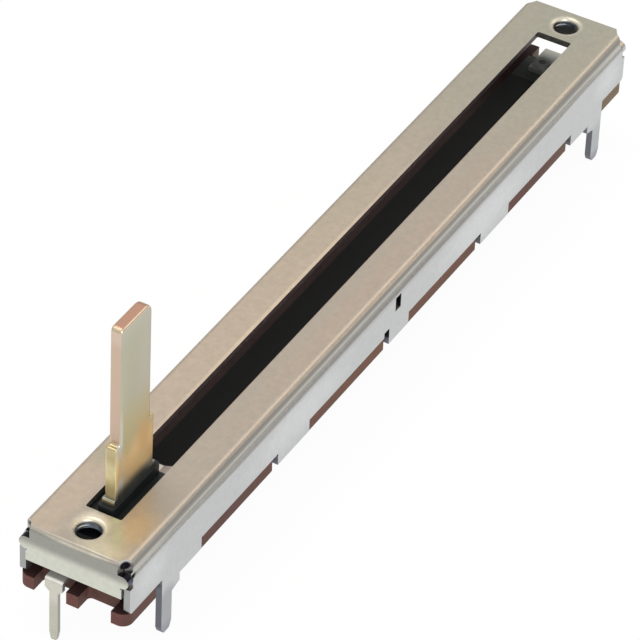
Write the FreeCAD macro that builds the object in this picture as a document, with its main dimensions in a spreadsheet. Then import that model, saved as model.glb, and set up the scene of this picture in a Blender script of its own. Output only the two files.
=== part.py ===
import FreeCAD, Part

import os
import re

import Sketcher

# A slide potentiometer with 60 mm of travel, in millimetres. X runs along the travel, Y across the body and
# Z up. The origin is the middle of the footprint, at the tips of the fixing legs. The lever stands at the
# -X end of its slot.

os.makedirs("parts", exist_ok=True)
doc = FreeCAD.newDocument("slide_potentiometer")

SIZES = [
    # folded sheet frame
    ("frame_long", 75.0, "over the outer faces of both end flanges"),
    ("frame_wide", 9.0, "over the side walls"),
    ("sheet", 0.5, "thickness of the steel sheet"),
    ("face_high", 9.8, "top face above the tips of the legs"),
    ("joggle_step", 0.2, "how far the walls step out below the plate's folds"),
    ("joggle_from", 1.22, "top of the joggle, below the top face"),
    ("joggle_to", 1.5, "foot of the joggle, below the top face"),
    ("joggle_soften", 0.3, "radius on the joggle's edges"),
    ("bend_outer", 0.5, "outer radius of every fold"),
    ("bend_inner", 0.08, "inner radius of every fold"),
    ("wall_deep", 4.55, "top face down to the seat of the board"),
    ("wall_back", 0.2, "wall ends behind the flange faces"),
    ("wall_round", 0.35, "radius on the lower corners of the walls' ends"),
    ("flange_deep", 3.2, "height of the end flanges"),
    ("flange_in", 0.6, "flange edge inside the wall's outer face"),
    ("relief_radius", 0.55, "round bite in the corner of a flange"),
    ("relief_in", 0.25, "middle of that bite inside the wall's outer face"),
    ("relief_low", 0.55, "middle of that bite below the top face"),
    ("relief_past", 0.1, "bite past the flange's inner face"),
    ("corner_radius", 0.92, "round cut at the plate's corner"),
    ("corner_deep", 1.1, "depth of that cut below the top face"),
    ("ear_radius", 0.55, "round ears on the flange edges"),
    ("ear_deep", 1.65, "ear centre below the top face"),
    ("ear_gap", 0.1, "room round the ear in the wall's end"),
    ("slot_in", 3.9, "end of the lever slot, from the flange face"),
    ("slot_wide", 2.95, "width of the lever slot"),
    ("slot_round", 0.15, "corner radius of the lever slot"),
    # tapped fixing holes
    ("fixing_in", 2.0, "middle of a fixing hole, from the flange face"),
    ("bore_wide", 1.9, "tapped bore of an M2.3 thread"),
    ("bore_lip", 0.35, "rounded entry of the bore"),
    ("collar_wide", 2.7, "outside of the drawn collar"),
    ("collar_deep", 0.25, "collar below the sheet"),
    # slit in the front wall
    ("slit_at", 0.5, "middle of the slit along the body"),
    ("slit_wide", 0.8, "width of the slit"),
    ("slit_top", 1.8, "top of the slit below the top face"),
    ("slit_low", 3.05, "foot of the slit below the top face"),
    # tabs and legs of the side walls
    ("leg_near_in", 5.18, "middle of the near legs, from the flange face"),
    ("leg_far_in", 4.37, "middle of the far legs, from the flange face"),
    ("leg_wide", 1.35, "width of a leg"),
    ("leg_tip_wide", 0.8, "width of a leg at its tip"),
    ("leg_taper", 0.6, "height of the tapered tip"),
    ("leg_round", 0.45, "radius at the shoulders of the tip"),
    ("leg_tip_round", 0.3, "radius at the end of the tip"),
    ("shoulder_wide", 1.03, "stop shoulder beside a leg"),
    ("shoulder_under", 0.65, "foot of the shoulder below the board, tab side"),
    ("shoulder_slope", 0.25, "how much lower the shoulder is at the leg"),
    ("end_tab_reach", 4.65, "leg middle to the inner end of its tab"),
    ("tab_left_at", -14.75, "middle of the tab between leg and middle, -X side"),
    ("tab_mid_at", 0.8, "middle of the centre tab"),
    ("tab_right_at", 15.85, "middle of the tab between leg and middle, +X side"),
    ("tab_side_wide", 4.5, "width of the side tabs"),
    ("tab_mid_wide", 3.0, "width of the centre tab"),
    ("tab_short", 0.05, "tab ends above the board's underside"),
    ("nick_wide", 0.75, "relief nick beside the centre tab"),
    ("nick_high", 0.45, "height of that nick above the board's seat"),
    # laminate board
    ("board_proud", 0.1, "board beyond the flange faces"),
    ("board_in", 0.05, "board inside the walls' outer faces"),
    ("board_thick", 1.1, "thickness of the board"),
    ("tab_lead", 0.75, "cut-out room on the -X side of a tab"),
    ("tab_trail", 0.1, "cut-out room on the +X side of a tab"),
    ("tab_gap", 0.05, "cut-out floor behind a tab"),
    ("notch_deep", 1.45, "end notches, along the board"),
    ("notch_in", 0.5, "end notches, side nearer the middle"),
    ("notch_rim", 1.3, "end notches, from the board's long edge"),
    ("notch_round", 0.35, "radius in the notch corners"),
    ("board_round", 0.8, "radius on the board's corners"),
    # printed tracks
    ("print_thick", 0.05, "thickness of the printed layers"),
    ("track_off", 1.7, "middle of a track inside the wall's inner face"),
    ("track_wide", 2.0, "width of a track"),
    ("track_in", 4.4, "end of the resistive track, from the flange face"),
    ("pad_rim", 0.1, "silver pad beyond the terminal, and short of the notch"),
    # terminals and eyelets
    ("terminal_at", 1.66, "middle of a terminal off the centre line"),
    ("terminal_back", 0.1, "terminal face behind the flange face"),
    ("terminal_thick", 0.35, "thickness of the terminal blade"),
    ("terminal_wide", 1.46, "width of the terminal's foot and shoulder"),
    ("pin_wide", 0.69, "width of the terminal's pin"),
    ("pin_tip_wide", 0.4, "width of the pin at its tip"),
    ("pin_taper", 0.7, "height of the pin's pointed tip"),
    ("pin_short", 0.05, "pin tip above the leg tips"),
    ("shoulder_drop", 0.87, "straight shoulder below the foot's top"),
    ("shoulder_cone", 0.33, "height of the taper from shoulder to pin"),
    ("foot_long", 3.2, "length of the terminal's foot"),
    ("terminal_bend", 0.3, "outer radius of the terminal's bend"),
    ("eyelet_in", 2.3, "middle of an eyelet, from the flange face"),
    ("eyelet_bore", 0.6, "bore of an eyelet"),
    ("eyelet_wide", 0.95, "barrel of an eyelet"),
    ("eyelet_head", 1.35, "head of an eyelet"),
    ("eyelet_rim", 0.16, "thickness of an eyelet's head"),
    ("eyelet_gap", 0.03, "room round the barrel"),
    # slider
    ("slot_gap", 0.25, "room left at each end of the slider's stroke"),
    ("carrier_gap", 0.1, "running room of the carrier in the frame"),
    ("base_gap", 1.1, "underside of the carrier's base above the tracks"),
    ("tang_bed", 0.6, "foot of the tang above the base's underside"),
    ("block_high", 1.0, "top of the carrier's base below the plate"),
    ("block_past", 0.6, "carrier's block past the rib, -X side"),
    ("skid_wide", 0.55, "width of a skid"),
    ("skid_gap", 0.05, "running room under a skid"),
    ("rib_end", 0.35, "rib past the lever's foot at each end"),
    ("rib_wall", 0.2, "rib beside the lever on each side"),
    ("rib_proud", 0.3, "rib above the top face"),
    ("rib_round", 0.25, "radius on the rib's ends"),
    ("stake_wide", 0.7, "pin that holds the wiper spring"),
    ("stake_head", 1.1, "staked head of that pin"),
    ("stake_rim", 0.18, "thickness of the staked head"),
    ("stake_back", 1.9, "pins, from the lever towards -X"),
    ("stake_out", 1.6, "pins, off the centre line"),
    ("lip_thick", 0.18, "lip that keeps the friction spring"),
    ("lip_high", 0.25, "height of that lip"),
    # lever
    ("lever_reach", 15.45, "lever above the top face"),
    ("lever_wide", 3.9, "width of the lever's blade"),
    ("lever_thick", 1.0, "thickness of the lever"),
    ("lever_round_near", 0.4, "corner radius at the lever's top, -X side"),
    ("lever_round_far", 0.75, "corner radius at the lever's top, +X side"),
    ("lever_soften", 0.22, "radius on the lever's edges"),
    ("stem_step", 0.525, "stem past the blade on each side"),
    ("stem_high", 5.2, "stem above the top face"),
    ("foot_step", 0.275, "lever's foot past the stem on each side"),
    ("foot_high", 0.45, "height of the lever's foot above the rib"),
    ("foot_soften", 0.15, "radius on the foot's edges"),
    ("tang_step", 0.45, "tang inside the blade on each side"),
    # springs
    ("wiper_thick", 0.15, "sheet of the wiper spring"),
    ("wiper_room", 0.1, "room between the wiper spring and a skid"),
    ("wiper_back", 3.0, "wiper plate, towards -X from the lever"),
    ("wiper_root", 0.4, "root of the fingers, towards +X from the lever"),
    ("wiper_touch", 2.5, "touching point of the fingers, towards +X"),
    ("wiper_tip", 3.0, "tip of the fingers, towards +X"),
    ("wiper_lift", 0.3, "how far the tips curl up"),
    ("wiper_gap", 0.04, "room between fingers and tracks at rest"),
    ("finger_wide", 0.45, "width of a finger"),
    ("finger_split", 0.15, "split between two fingers"),
    ("strip_off", 0.1, "friction spring past the rib, +X side"),
    ("strip_room", 0.1, "room between that spring and the carrier"),
    ("strip_wide", 1.05, "width of the friction spring"),
    ("strip_thick", 0.15, "sheet of the friction spring"),
    ("strip_gap", 0.07, "room between the spring's crowns and the plate"),
    ("strip_dip", 0.5, "middle of the spring below its crowns"),
    ("crown_out", 0.125, "crowns of the spring outside the slot's edges"),
    ("crown_slope", 1.3, "slope from a crown to the flat middle"),
    ("strip_in", 0.6, "ends of the spring inside the carrier's sides"),
]

sizes = doc.addObject("Spreadsheet::Sheet", "sizes")
for row, (name, millimetres, what) in enumerate(SIZES, 1):
    sizes.set("A%d" % row, name)
    sizes.set("B%d" % row, str(millimetres))
    sizes.set("C%d" % row, what)
    sizes.setAlias("B%d" % row, name)
doc.recompute()
NAMES = {name for name, millimetres, what in SIZES}

# heights and places that several pieces share
BOARD_TOP = "(face_high - wall_deep)"
BOARD_LOW = "(face_high - wall_deep - board_thick)"
BOARD_HALF_LONG = "(frame_long / 2 + board_proud)"
BOARD_HALF_WIDE = "(frame_wide / 2 - board_in)"
PLATE_LOW = "(face_high - sheet)"
PRINT_TOP = "(face_high - wall_deep + print_thick)"
FOOT_TOP = "(face_high - wall_deep + print_thick + terminal_thick)"
WALL_INNER = "(frame_wide / 2 - sheet)"
CROWN_HALF = "(frame_wide / 2 - joggle_step)"
CROWN_INNER = "(frame_wide / 2 - joggle_step - sheet)"
FLANGE_HALF = "(frame_wide / 2 - flange_in)"
FIXING_AT = "(frame_long / 2 - fixing_in)"
LEG_NEAR_AT = "(leg_near_in - frame_long / 2)"
LEG_FAR_AT = "(frame_long / 2 - leg_far_in)"
TRACK_HALF = "(frame_long / 2 - track_in)"
TRACK_AT = "(frame_wide / 2 - sheet - track_off)"
TRACK_OUTER = "(frame_wide / 2 - sheet - track_off + track_wide / 2)"
PAD_END = "(frame_long / 2 + board_proud - notch_deep - pad_rim)"
PAD_INNER = "(terminal_at - terminal_wide / 2 - pad_rim)"
EYELET_AT = "(frame_long / 2 - eyelet_in)"
STEM_HALF = "(lever_wide / 2 + stem_step)"
FOOT_HALF = "(lever_wide / 2 + stem_step + foot_step)"
TANG_HALF = "(lever_wide / 2 - tang_step)"
RIB_HALF = "(lever_wide / 2 + stem_step + foot_step + rib_end)"
RIB_HALF_WIDE = "(lever_thick / 2 + rib_wall)"
RIB_TOP = "(face_high + rib_proud)"
LEVER_AT = "(slot_in + slot_gap + %s - frame_long / 2)" % RIB_HALF
BLOCK_TOP = "(face_high - sheet - carrier_gap)"
BLOCK_HALF = "(frame_wide / 2 - joggle_step - sheet - carrier_gap)"
BASE_HALF = "(frame_wide / 2 - sheet - carrier_gap)"
BASE_LOW = "(face_high - wall_deep + print_thick + base_gap)"
BASE_TOP = "(face_high - sheet - block_high)"
TANG_LOW = "(face_high - wall_deep + print_thick + base_gap + tang_bed)"
STRIP_NEAR = "(%s + strip_off)" % RIB_HALF
BASE_END = "(%s + strip_off + strip_wide + strip_room + lip_thick)" % RIB_HALF


def bound(text):
    """The text of a size with each name pointed at its cell of the sheet."""
    return re.sub(r"[a-z_]+", lambda m: "sizes." + m.group() if m.group() in NAMES else m.group(), text)


def value(text):
    """The number that a size works out to."""
    return float(sizes.evalExpression(bound(text)))


def new_body(label, x="0", y="0", turned=False):
    """A body with its own label and place; turned ones face the other way along the part."""
    body = doc.addObject("PartDesign::Body", label)
    body.Label = label
    if turned:
        body.Placement = FreeCAD.Placement(FreeCAD.Vector(), FreeCAD.Rotation(FreeCAD.Vector(0, 0, 1), 180))
    body.setExpression("Placement.Base.x", bound(x))
    body.setExpression("Placement.Base.y", bound(y))
    return body


def plane(body, role):
    """The body's own origin plane with this role."""
    return [p for p in body.Origin.OriginFeatures if p.Role == role][0]


def new_sketch(body, role, offset="0"):
    """A sketch on one of the body's origin planes, moved along its normal by offset."""
    sketch = body.newObject("Sketcher::SketchObject", body.Label + "_sketch")
    sketch.AttachmentSupport = [(plane(body, role), "")]
    sketch.MapMode = "FlatFace"
    sketch.setExpression(".AttachmentOffset.Base.z", bound(offset))
    return sketch


def pin_point(sketch, shape, end, across, up):
    """Fixes one point of a shape at named sizes from the sketch's origin."""
    for kind, text in (("DistanceX", across), ("DistanceY", up)):
        index = sketch.addConstraint(Sketcher.Constraint(kind, -1, 1, shape, end, value(text)))
        sketch.setExpression("Constraints[%d]" % index, bound(text))


def outline(sketch, corners):
    """A closed outline of straight edges; each corner is a pair of sizes."""
    points = [FreeCAD.Vector(value(across), value(up), 0) for across, up in corners]
    first = sketch.GeometryCount
    count = len(points)
    for i in range(count):
        sketch.addGeometry(Part.LineSegment(points[i], points[(i + 1) % count]), False)
    for i in range(count):
        sketch.addConstraint(Sketcher.Constraint("Coincident", first + i, 2, first + (i + 1) % count, 1))
    for i, (across, up) in enumerate(corners):
        pin_point(sketch, first + i, 1, across, up)


def rectangle(sketch, left, right, low, high):
    """A rectangle between four sizes."""
    outline(sketch, [(left, low), (right, low), (right, high), (left, high)])


def circle(sketch, across, up, diameter):
    """A circle with its middle at a pair of sizes."""
    middle = FreeCAD.Vector(value(across), value(up), 0)
    index = sketch.addGeometry(Part.Circle(middle, FreeCAD.Vector(0, 0, 1), value(diameter) / 2), False)
    pin_point(sketch, index, 3, across, up)
    ring = sketch.addConstraint(Sketcher.Constraint("Diameter", index, value(diameter)))
    sketch.setExpression("Constraints[%d]" % ring, bound(diameter))


def solid(body, kind, sketch, length, symmetric=False, backwards=False):
    """A Pad or Pocket of a sketch; the volume has to grow with a Pad and shrink with a Pocket."""
    doc.recompute()
    before = body.Shape.Volume if body.Tip else 0.0
    feature = body.newObject("PartDesign::" + kind, body.Label + "_" + kind.lower())
    feature.Profile = sketch
    feature.setExpression("Length", bound(length))
    feature.Midplane = symmetric
    feature.Reversed = backwards
    sketch.Visibility = False
    doc.recompute()
    change = body.Shape.Volume - before
    if (change > 0) != (kind == "Pad") or abs(change) < 1e-6:
        raise RuntimeError("%s of %s changed the volume by %.4f" % (kind, body.Label, change))
    return feature


def mirrored(body, originals, role):
    """Repeats features on the other side of one of the body's origin planes."""
    mirror = body.newObject("PartDesign::Mirrored", body.Label + "_mirror")
    mirror.Originals = originals
    mirror.MirrorPlane = (plane(body, role), [""])
    body.Tip = mirror
    doc.recompute()
    return mirror


def rounded(body, radius, chosen):
    """A fillet on every edge of the body that the test chooses."""
    doc.recompute()
    base = body.Tip
    edges = ["Edge%d" % i for i, edge in enumerate(base.Shape.Edges, 1) if chosen(edge)]
    if not edges:
        raise RuntimeError("no edge to round on " + body.Label)
    fillet = body.newObject("PartDesign::Fillet", body.Label + "_fillet")
    fillet.Base = (base, edges)
    fillet.setExpression("Radius", bound(radius))
    doc.recompute()
    return fillet


def near(a, b):
    """Whether two lengths are the same to a thousandth."""
    return abs(a - b) < 1e-3


def along(edge, axis):
    """Whether a straight edge runs along an axis, 0 for X, 1 for Y and 2 for Z."""
    if edge.Curve.TypeId != "Part::GeomLine":
        return False
    return near(abs(edge.Curve.Direction[axis]), 1.0)


def passes(edge, **places):
    """Whether the middle of an edge lies at the stated places, whatever their sign."""
    middle = edge.valueAt((edge.FirstParameter + edge.LastParameter) / 2)
    return all(near(abs(getattr(middle, axis)), abs(value(text))) for axis, text in places.items())


def half_profile(points):
    """A profile that is the same on both sides of the middle, from the points of its right side."""
    return points + [("-(%s)" % across, up) for across, up in reversed(points)]


# The frame is one sheet: a channel with a joggle in its walls, closed at the ends by two flanges.
def make_frame():
    frame = new_body("frame")
    staple = new_sketch(frame, "XZ_Plane")
    outline(staple, half_profile([
        ("frame_long / 2", "face_high"), ("frame_long / 2", "face_high - flange_deep"),
        ("frame_long / 2 - sheet", "face_high - flange_deep"), ("frame_long / 2 - sheet", PLATE_LOW)]))
    solid(frame, "Pad", staple, "2 * " + FLANGE_HALF, symmetric=True)
    rounded(frame, "bend_outer", lambda e: along(e, 1) and passes(e, x="frame_long / 2", z="face_high"))
    rounded(frame, "bend_inner", lambda e: along(e, 1) and passes(e, x="frame_long / 2 - sheet", z=PLATE_LOW))
    reliefs = new_sketch(frame, "YZ_Plane", "frame_long / 2 - sheet - relief_past")
    for sign in ("", "-"):
        circle(reliefs, sign + "(frame_wide / 2 - relief_in)", "face_high - relief_low", "2 * relief_radius")
    relief = solid(frame, "Pocket", reliefs, "2 * sheet", backwards=True)
    mirrored(frame, [relief], "YZ_Plane")

    # the channel is shorter than the flanges are apart, so its walls end just behind their faces
    section = new_sketch(frame, "YZ_Plane")
    outer = [(BOARD_TOP, "frame_wide / 2"), ("(face_high - joggle_to)", "frame_wide / 2"),
             ("(face_high - joggle_from)", CROWN_HALF), ("face_high", CROWN_HALF)]
    inner = [(PLATE_LOW, CROWN_INNER), ("(face_high - joggle_from)", CROWN_INNER),
             ("(face_high - joggle_to)", WALL_INNER), (BOARD_TOP, WALL_INNER)]
    right_outer = [(y, z) for z, y in outer]
    right_inner = [(y, z) for z, y in inner]
    left_outer = [("-(%s)" % y, z) for z, y in reversed(outer)]
    left_inner = [("-(%s)" % y, z) for z, y in reversed(inner)]
    outline(section, right_outer + left_outer + left_inner + right_inner)
    solid(frame, "Pad", section, "frame_long - 2 * wall_back", symmetric=True)
    rounded(frame, "bend_outer", lambda e: along(e, 0) and passes(e, y=CROWN_HALF, z="face_high"))
    rounded(frame, "bend_inner", lambda e: along(e, 0) and passes(e, y=CROWN_INNER, z=PLATE_LOW))
    rounded(frame, "joggle_soften", lambda e: along(e, 0) and (
        passes(e, y=CROWN_HALF, z="face_high - joggle_from")
        or passes(e, y="frame_wide / 2", z="face_high - joggle_to")))
    wall_end = "frame_long / 2 - wall_back"
    rounded(frame, "wall_round", lambda e: along(e, 1) and passes(e, x=wall_end, z=BOARD_TOP))
    corners = new_sketch(frame, "XY_Plane", "face_high - corner_deep")
    for across in ("frame_long / 2", "-frame_long / 2"):
        for up in ("frame_wide / 2", "-frame_wide / 2"):
            circle(corners, across, up, "2 * corner_radius")
    solid(frame, "Pocket", corners, "corner_deep", backwards=True)

    # round ears on the flanges lock into notches in the ends of the walls
    bites = new_sketch(frame, "XZ_Plane", "-frame_wide / 2")
    ear_room = "(ear_radius + ear_gap)"
    for sign in ("", "-"):
        rectangle(bites, sign + "(frame_long / 2 - sheet - ear_gap)", sign + "(frame_long / 2)",
                  "face_high - ear_deep - " + ear_room, "face_high - ear_deep + " + ear_room)
    bite = solid(frame, "Pocket", bites, "sheet + joggle_step", backwards=True)
    mirrored(frame, [bite], "XZ_Plane")
    ears = new_sketch(frame, "YZ_Plane", "frame_long / 2 - sheet")
    for sign in ("", "-"):
        circle(ears, sign + FLANGE_HALF, "face_high - ear_deep", "2 * ear_radius")
    ear = solid(frame, "Pad", ears, "sheet")
    mirrored(frame, [ear], "YZ_Plane")

    # legs and tabs hang from both walls
    wall = new_sketch(frame, "XZ_Plane", "-frame_wide / 2")
    root = "(face_high - wall_deep + sheet)"
    tab_low = "(face_high - wall_deep - board_thick + tab_short)"
    for at, side in ((LEG_NEAR_AT, ""), (LEG_FAR_AT, "-")):
        outline(wall, [(at + " + %s(%s)" % (side, across), up) for across, up in (
            ("0 - leg_wide / 2", root), ("0 - leg_wide / 2", "leg_taper"),
            ("0 - leg_tip_wide / 2", "0"), ("leg_tip_wide / 2", "0"), ("leg_wide / 2", "leg_taper"),
            ("leg_wide / 2", BOARD_LOW + " - shoulder_under - shoulder_slope"),
            ("leg_wide / 2 + shoulder_wide", BOARD_LOW + " - shoulder_under"),
            ("leg_wide / 2 + shoulder_wide", tab_low), ("end_tab_reach", tab_low), ("end_tab_reach", root))])
    for at, wide in (("tab_left_at", "tab_side_wide"), ("tab_mid_at", "tab_mid_wide"),
                     ("tab_right_at", "tab_side_wide")):
        rectangle(wall, at + " - %s / 2" % wide, at + " + %s / 2" % wide, tab_low, root)
    legs = solid(frame, "Pad", wall, "sheet")
    mirrored(frame, [legs], "XZ_Plane")
    rounded(frame, "leg_round", lambda e: along(e, 1) and passes(e, z="leg_taper"))
    rounded(frame, "leg_tip_round", lambda e: along(e, 1) and passes(e, z="0"))
    nick = new_sketch(frame, "XZ_Plane")
    nick_right = "(tab_mid_at - tab_mid_wide / 2)"
    rectangle(nick, nick_right + " - nick_wide", nick_right, BOARD_TOP, BOARD_TOP + " + nick_high")
    solid(frame, "Pocket", nick, "2 * frame_wide", symmetric=True)

    # slot for the slider's rib, and the slit in the front wall
    slot = new_sketch(frame, "XY_Plane", PLATE_LOW)
    slot_end = "(frame_long / 2 - slot_in)"
    rectangle(slot, "-" + slot_end, slot_end, "-slot_wide / 2", "slot_wide / 2")
    solid(frame, "Pocket", slot, "sheet", backwards=True)
    rounded(frame, "slot_round", lambda e: along(e, 2) and passes(e, x=slot_end, y="slot_wide / 2"))
    slit = new_sketch(frame, "XZ_Plane", "frame_wide / 2")
    rectangle(slit, "slit_at - slit_wide / 2", "slit_at + slit_wide / 2",
              "face_high - slit_low", "face_high - slit_top")
    solid(frame, "Pocket", slit, "2 * sheet")

    # tapped holes, drawn downwards into a collar
    collars = new_sketch(frame, "XY_Plane", "face_high - sheet - collar_deep")
    for sign in ("", "-"):
        circle(collars, sign + FIXING_AT, "0", "collar_wide")
    solid(frame, "Pad", collars, "collar_deep")
    bores = new_sketch(frame, "XY_Plane", "face_high - sheet - collar_deep")
    for sign in ("", "-"):
        circle(bores, sign + FIXING_AT, "0", "bore_wide")
    solid(frame, "Pocket", bores, "sheet + collar_deep", backwards=True)
    rounded(frame, "bore_lip", lambda e: e.Curve.TypeId == "Part::GeomCircle"
            and near(e.Curve.Radius, value("bore_wide / 2")) and near(e.Curve.Center.z, value("face_high")))
    return frame


# The board is sawn and punched from flat laminate; the frame's tabs pass down beside its cut-outs.
def make_board():
    board = new_body("board")
    blank = new_sketch(board, "XY_Plane", BOARD_LOW)
    rectangle(blank, "-" + BOARD_HALF_LONG, BOARD_HALF_LONG, "-" + BOARD_HALF_WIDE, BOARD_HALF_WIDE)
    solid(board, "Pad", blank, "board_thick")
    rounded(board, "board_round", lambda e: along(e, 2))
    cuts = new_sketch(board, "XY_Plane", BOARD_LOW)
    floor = WALL_INNER + " - tab_gap"
    tabs = ((LEG_NEAR_AT + " - leg_wide / 2", LEG_NEAR_AT + " + end_tab_reach"),
            ("tab_left_at - tab_side_wide / 2", "tab_left_at + tab_side_wide / 2"),
            ("tab_mid_at - tab_mid_wide / 2", "tab_mid_at + tab_mid_wide / 2"),
            ("tab_right_at - tab_side_wide / 2", "tab_right_at + tab_side_wide / 2"),
            (LEG_FAR_AT + " - end_tab_reach", LEG_FAR_AT + " + leg_wide / 2"))
    for left, right in tabs:
        rectangle(cuts, left + " - tab_lead", right + " + tab_trail", floor, "frame_wide")
    cut = solid(board, "Pocket", cuts, "board_thick", backwards=True)
    mirrored(board, [cut], "XZ_Plane")
    notches = new_sketch(board, "XY_Plane", BOARD_LOW)
    notch_end = "(frame_long / 2 + board_proud - notch_deep)"
    notch_out = "(frame_wide / 2 - board_in - notch_rim)"
    for side in ("", "-"):
        rectangle(notches, notch_end, "frame_long", side + "notch_in", side + notch_out)
    notch = solid(board, "Pocket", notches, "board_thick", backwards=True)
    mirrored(board, [notch], "YZ_Plane")
    rounded(board, "notch_round", lambda e: along(e, 2) and (
        passes(e, x=notch_end, y="notch_in") or passes(e, x=notch_end, y=notch_out)))
    holes = new_sketch(board, "XY_Plane", BOARD_LOW)
    for end, side in (("-", ""), ("", ""), ("", "-")):
        circle(holes, end + EYELET_AT, side + "terminal_at", "eyelet_wide + 2 * eyelet_gap")
    solid(board, "Pocket", holes, "board_thick", backwards=True)
    return board


# Tracks and pads are thin prints on the board: each is one or two strips side by side along X, from their
# ends and inner edges, and an eyelet's hole is left open under a terminal.
def make_print(label, side, strips, hole=None):
    layer = new_body(label)
    for left, right, inner in strips:
        area = new_sketch(layer, "XY_Plane", BOARD_TOP)
        rectangle(area, left, right, side + inner, side + TRACK_OUTER)
        solid(layer, "Pad", area, "print_thick")
    if hole:
        opening = new_sketch(layer, "XY_Plane", BOARD_TOP)
        circle(opening, hole, side + "terminal_at", "eyelet_wide + 2 * eyelet_gap")
        solid(layer, "Pocket", opening, "print_thick", backwards=True)
    return layer


# A terminal is a stamped blade with a shoulder and a pointed pin, bent over into a foot on the board.
def make_terminal(label, side, turned):
    end = "" if turned else "-"
    terminal = new_body(label, end + "(frame_long / 2 - terminal_back)", side + "terminal_at", turned=turned)
    blade = new_sketch(terminal, "YZ_Plane")
    outline(blade, half_profile([
        ("terminal_wide / 2", FOOT_TOP), ("terminal_wide / 2", FOOT_TOP + " - shoulder_drop"),
        ("pin_wide / 2", FOOT_TOP + " - shoulder_drop - shoulder_cone"),
        ("pin_wide / 2", "pin_short + pin_taper"), ("pin_tip_wide / 2", "pin_short")]))
    solid(terminal, "Pad", blade, "terminal_thick")
    foot = new_sketch(terminal, "XY_Plane", PRINT_TOP)
    rectangle(foot, "0", "foot_long", "-terminal_wide / 2", "terminal_wide / 2")
    solid(terminal, "Pad", foot, "terminal_thick")
    hole = new_sketch(terminal, "XY_Plane", PRINT_TOP)
    circle(hole, "eyelet_in - terminal_back", "0", "eyelet_wide + 2 * eyelet_gap")
    solid(terminal, "Pocket", hole, "terminal_thick", backwards=True)
    rounded(terminal, "terminal_bend", lambda e: along(e, 1) and passes(e, x="0", z=FOOT_TOP))
    return terminal


# An eyelet is turned round its own axis: a barrel with a head above the foot and one under the board.
def make_eyelet(label, x, y):
    eyelet = new_body(label, x, y)
    profile = new_sketch(eyelet, "XZ_Plane")
    outline(profile, [
        ("eyelet_bore / 2", BOARD_LOW + " - eyelet_rim"), ("eyelet_head / 2", BOARD_LOW + " - eyelet_rim"),
        ("eyelet_head / 2", BOARD_LOW), ("eyelet_wide / 2", BOARD_LOW), ("eyelet_wide / 2", FOOT_TOP),
        ("eyelet_head / 2", FOOT_TOP), ("eyelet_head / 2", FOOT_TOP + " + eyelet_rim"),
        ("eyelet_bore / 2", FOOT_TOP + " + eyelet_rim")])
    doc.recompute()
    turned = eyelet.newObject("PartDesign::Revolution", label + "_turned")
    turned.Profile = profile
    turned.ReferenceAxis = (profile, ["V_Axis"])
    turned.Angle = 360
    profile.Visibility = False
    doc.recompute()
    return eyelet


# The carrier is moulded: a base on two skids, a block under the plate and a rib that runs in the slot.
def make_carrier():
    carrier = new_body("carrier", LEVER_AT)
    base = new_sketch(carrier, "XY_Plane", BASE_LOW)
    rectangle(base, "-" + BASE_END, BASE_END, "-" + BASE_HALF, BASE_HALF)
    solid(carrier, "Pad", base, "%s - %s" % (BASE_TOP, BASE_LOW))
    skid_low = "(face_high - wall_deep + skid_gap)"
    skids = new_sketch(carrier, "XY_Plane", skid_low)
    rectangle(skids, "-" + BASE_END, BASE_END, BASE_HALF + " - skid_wide", BASE_HALF)
    rectangle(skids, "-" + BASE_END, BASE_END, "-" + BASE_HALF, "skid_wide - " + BASE_HALF)
    solid(carrier, "Pad", skids, "%s - %s" % (BASE_LOW, skid_low))
    block = new_sketch(carrier, "XY_Plane", BASE_TOP)
    block_far = STRIP_NEAR + " - strip_room"
    rectangle(block, "-(%s + block_past)" % RIB_HALF, block_far, "-" + BLOCK_HALF, BLOCK_HALF)
    solid(carrier, "Pad", block, "%s - %s" % (BLOCK_TOP, BASE_TOP))
    rounded(carrier, "rib_round", lambda e: along(e, 2)
            and (passes(e, y=BLOCK_HALF) or passes(e, y=BASE_HALF)))
    rib = new_sketch(carrier, "XY_Plane", BASE_TOP)
    rectangle(rib, "-" + RIB_HALF, RIB_HALF, "-" + RIB_HALF_WIDE, RIB_HALF_WIDE)
    solid(carrier, "Pad", rib, "%s - %s" % (RIB_TOP, BASE_TOP))
    rounded(carrier, "rib_round", lambda e: along(e, 2) and e.BoundBox.ZMax > value("face_high")
            and passes(e, y=RIB_HALF_WIDE))
    lip = new_sketch(carrier, "XY_Plane", BASE_TOP)
    rectangle(lip, BASE_END + " - lip_thick", BASE_END, "strip_in - " + BASE_HALF, BASE_HALF + " - strip_in")
    solid(carrier, "Pad", lip, "lip_high")
    socket = new_sketch(carrier, "XY_Plane", TANG_LOW)
    rectangle(socket, "-" + TANG_HALF, TANG_HALF, "-lever_thick / 2", "lever_thick / 2")
    solid(carrier, "Pocket", socket, "%s - %s" % (RIB_TOP, TANG_LOW), backwards=True)
    stakes = new_sketch(carrier, "XY_Plane", BASE_LOW)
    heads = new_sketch(carrier, "XY_Plane", BASE_LOW + " - wiper_thick")
    for side in ("", "-"):
        circle(stakes, "-stake_back", side + "stake_out", "stake_wide")
        circle(heads, "-stake_back", side + "stake_out", "stake_head")
    solid(carrier, "Pad", stakes, "wiper_thick", backwards=True)
    solid(carrier, "Pad", heads, "stake_rim", backwards=True)
    return carrier


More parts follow.
